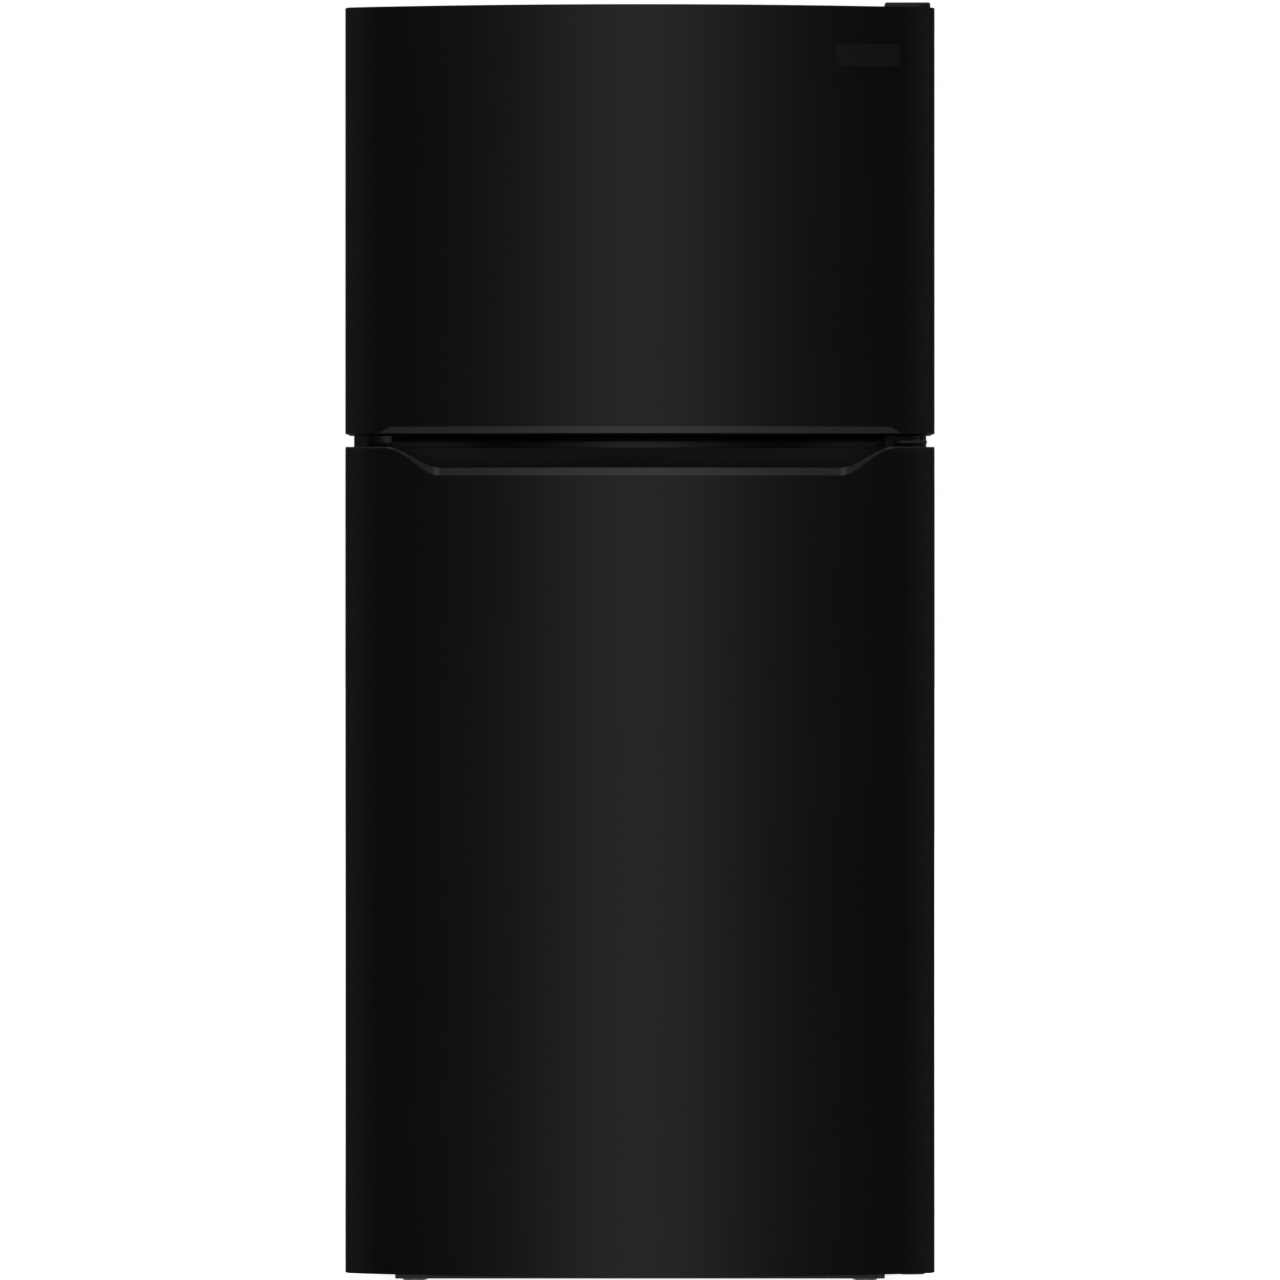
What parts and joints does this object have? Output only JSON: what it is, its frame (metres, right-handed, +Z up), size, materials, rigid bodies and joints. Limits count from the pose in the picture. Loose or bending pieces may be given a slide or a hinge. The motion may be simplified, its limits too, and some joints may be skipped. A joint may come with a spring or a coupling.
{
  "type": "top freezer refrigerator",
  "caption": "Black two-door top-freezer refrigerator with bowed doors, a scooped grip channel between them, a fitted interior and a rear machine compartment.",
  "frame": {"origin": "on the floor, under the middle of the closed refrigerator's overall box", "axes": "+Z up, +X to the right seen from the front, +Y towards the back; the doors face -Y"},
  "size_m": [0.76, 0.7714, 1.68],
  "materials": {
    "black_enamel": "smooth satin-gloss black enamel on steel",
    "black_trim": "smooth moulded black plastic",
    "black_grille": "fine-textured black plastic",
    "galvanised": "galvanised sheet with a faint spangle",
    "zinc_steel": "zinc-plated pressed steel",
    "black_steel": "black painted steel plate",
    "white_liner": "vacuum-formed white plastic, soft sheen",
    "foam": "rigid polyurethane foam",
    "white_plastic": "injection-moulded white plastic",
    "clear_plastic": "clear moulded plastic",
    "shelf_glass": "tempered shelf glass",
    "lens": "frosted light diffuser",
    "gasket": "soft dark grey magnetic seal",
    "grommet": "black rubber",
    "compressor": "black painted welded steel shell",
    "copper": "drawn copper tube",
    "fins": "plain aluminium fins and tube",
    "motor": "moulded motor housing",
    "fan": "moulded fan wheel",
    "wire": "white coated wire",
    "nameplate": "blank dark plate with a bright bevelled rim",
    "acetal": "slippery bearing plastic",
    "board": "black pressed fibre cover",
    "knob": "white knob with a raised pointer"
  },
  "bodies": {
    "cabinet": {"cabinet_wrapper": "black_enamel", "back_panel": "galvanised", "base_deck": "galvanised", "mullion_rail": "black_enamel", "fresh_food_liner": "white_liner", "freezer_liner": "white_liner", "insulation_foam": "foam", "toe_grille": "black_grille", "foot_brackets": "zinc_steel", "machine_tray": "galvanised", "compressor": "compressor", "compressor_grommets": "grommet", "condenser_coil": "copper", "condenser_fan_motor": "motor", "drain_pan": "black_grille", "machine_cover": "board", "cord_gland": "black_grille", "evaporator_coil": "fins", "evaporator_cover": "white_plastic", "evaporator_fan_motor": "motor", "freezer_wire_shelf": "wire", "control_housing": "white_plastic", "light_lens": "lens", "shelf_glass": "shelf_glass", "shelf_frames": "white_plastic", "top_hinge": "zinc_steel", "top_hinge_cover": "black_trim", "centre_hinge": "black_steel", "bottom_hinge": "black_steel", "hinge_screws": "black_steel"},
    "freezer_door": {"freezer_door_skin": "black_enamel", "freezer_door_top_cap": "black_trim", "freezer_door_grip_cap": "black_trim", "freezer_door_foam": "foam", "freezer_door_liner": "white_liner", "freezer_door_gasket": "gasket", "freezer_door_bins": "clear_plastic", "freezer_door_bushings": "acetal", "nameplate": "nameplate"},
    "fridge_door": {"fridge_door_skin": "black_enamel", "fridge_door_grip_cap": "black_trim", "fridge_door_bottom_cap": "black_trim", "fridge_door_foam": "foam", "fridge_door_liner": "white_liner", "fridge_door_gasket": "gasket", "fridge_door_bins": "clear_plastic", "fridge_door_bushings": "acetal", "dairy_compartment": "white_plastic"},
    "dairy_lid_body": {"dairy_lid": "clear_plastic"},
    "crisper_left_body": {"crisper_left": "clear_plastic"},
    "crisper_right_body": {"crisper_right": "clear_plastic"},
    "fridge_knob_body": {"fridge_knob": "knob"},
    "freezer_knob_body": {"freezer_knob": "knob"},
    "evaporator_fan_body": {"evaporator_fan": "fan"},
    "condenser_fan_body": {"condenser_fan": "fan"},
    "rear_roller_left_body": {"rear_roller_left": "acetal"},
    "rear_roller_right_body": {"rear_roller_right": "acetal"},
    "levelling_leg_left_body": {"levelling_leg_left": "zinc_steel"},
    "levelling_leg_right_body": {"levelling_leg_right": "zinc_steel"},
    "light_switch_body": {"light_switch": "white_plastic"}
  },
  "joints": [
    {"name": "freezer_door_swing", "type": "hinge", "parent": "cabinet", "child": "freezer_door", "pos_m": [0.368, -0.33725, 1.395], "axis": [0, 0, 1], "range_deg": [0, 130]},
    {"name": "fridge_door_swing", "type": "hinge", "parent": "cabinet", "child": "fridge_door", "pos_m": [0.368, -0.33725, 0.5715], "axis": [0, 0, 1], "range_deg": [0, 130]},
    {"name": "dairy_lid_lift", "type": "hinge", "parent": "fridge_door", "child": "dairy_lid_body", "pos_m": [0.144, -0.21625, 1.025], "axis": [1, 0, 0], "range_deg": [0, 85]},
    {"name": "crisper_left_slide", "type": "slide", "parent": "cabinet", "child": "crisper_left_body", "axis": [0, -1, 0], "range_m": [0, 0.25]},
    {"name": "crisper_right_slide", "type": "slide", "parent": "cabinet", "child": "crisper_right_body", "axis": [0, -1, 0], "range_m": [0, 0.25]},
    {"name": "fridge_knob_turn", "type": "hinge", "parent": "cabinet", "child": "fridge_knob_body", "pos_m": [-0.07, -0.069, 1.052], "axis": [0, -1, 0], "range_deg": [0, 270]},
    {"name": "freezer_knob_turn", "type": "hinge", "parent": "cabinet", "child": "freezer_knob_body", "pos_m": [-0.2, 0.229, 1.4915], "axis": [0, -1, 0], "range_deg": [0, 270]},
    {"name": "evaporator_fan_spin", "type": "hinge", "parent": "cabinet", "child": "evaporator_fan_body", "pos_m": [0, 0.253, 1.4915], "axis": [0, 1, 0], "continuous": true},
    {"name": "condenser_fan_spin", "type": "hinge", "parent": "cabinet", "child": "condenser_fan_body", "pos_m": [-0.02, 0.28575, 0.132], "axis": [1, 0, 0], "continuous": true},
    {"name": "rear_roller_left_spin", "type": "hinge", "parent": "cabinet", "child": "rear_roller_left_body", "pos_m": [-0.33, 0.33, 0.02], "axis": [1, 0, 0], "continuous": true},
    {"name": "rear_roller_right_spin", "type": "hinge", "parent": "cabinet", "child": "rear_roller_right_body", "pos_m": [0.33, 0.33, 0.02], "axis": [1, 0, 0], "continuous": true},
    {"name": "levelling_leg_left_turn", "type": "hinge", "parent": "cabinet", "child": "levelling_leg_left_body", "pos_m": [-0.3, -0.255, 0.03], "axis": [0, 0, 1], "continuous": true},
    {"name": "levelling_leg_right_turn", "type": "hinge", "parent": "cabinet", "child": "levelling_leg_right_body", "pos_m": [0.3, -0.255, 0.03], "axis": [0, 0, 1], "continuous": true},
    {"name": "light_switch_press", "type": "slide", "parent": "cabinet", "child": "light_switch_body", "axis": [0, -1, 0], "range_m": [0, 0.0076]}
  ],
  "couplings": [
    {"joint": "crisper_left_slide", "follows": "fridge_door_swing", "m_per_rad": 0.11},
    {"joint": "crisper_right_slide", "follows": "fridge_door_swing", "m_per_rad": 0.11},
    {"joint": "light_switch_press", "follows": "fridge_door_swing", "m_per_rad": 0.0033}
  ]
}
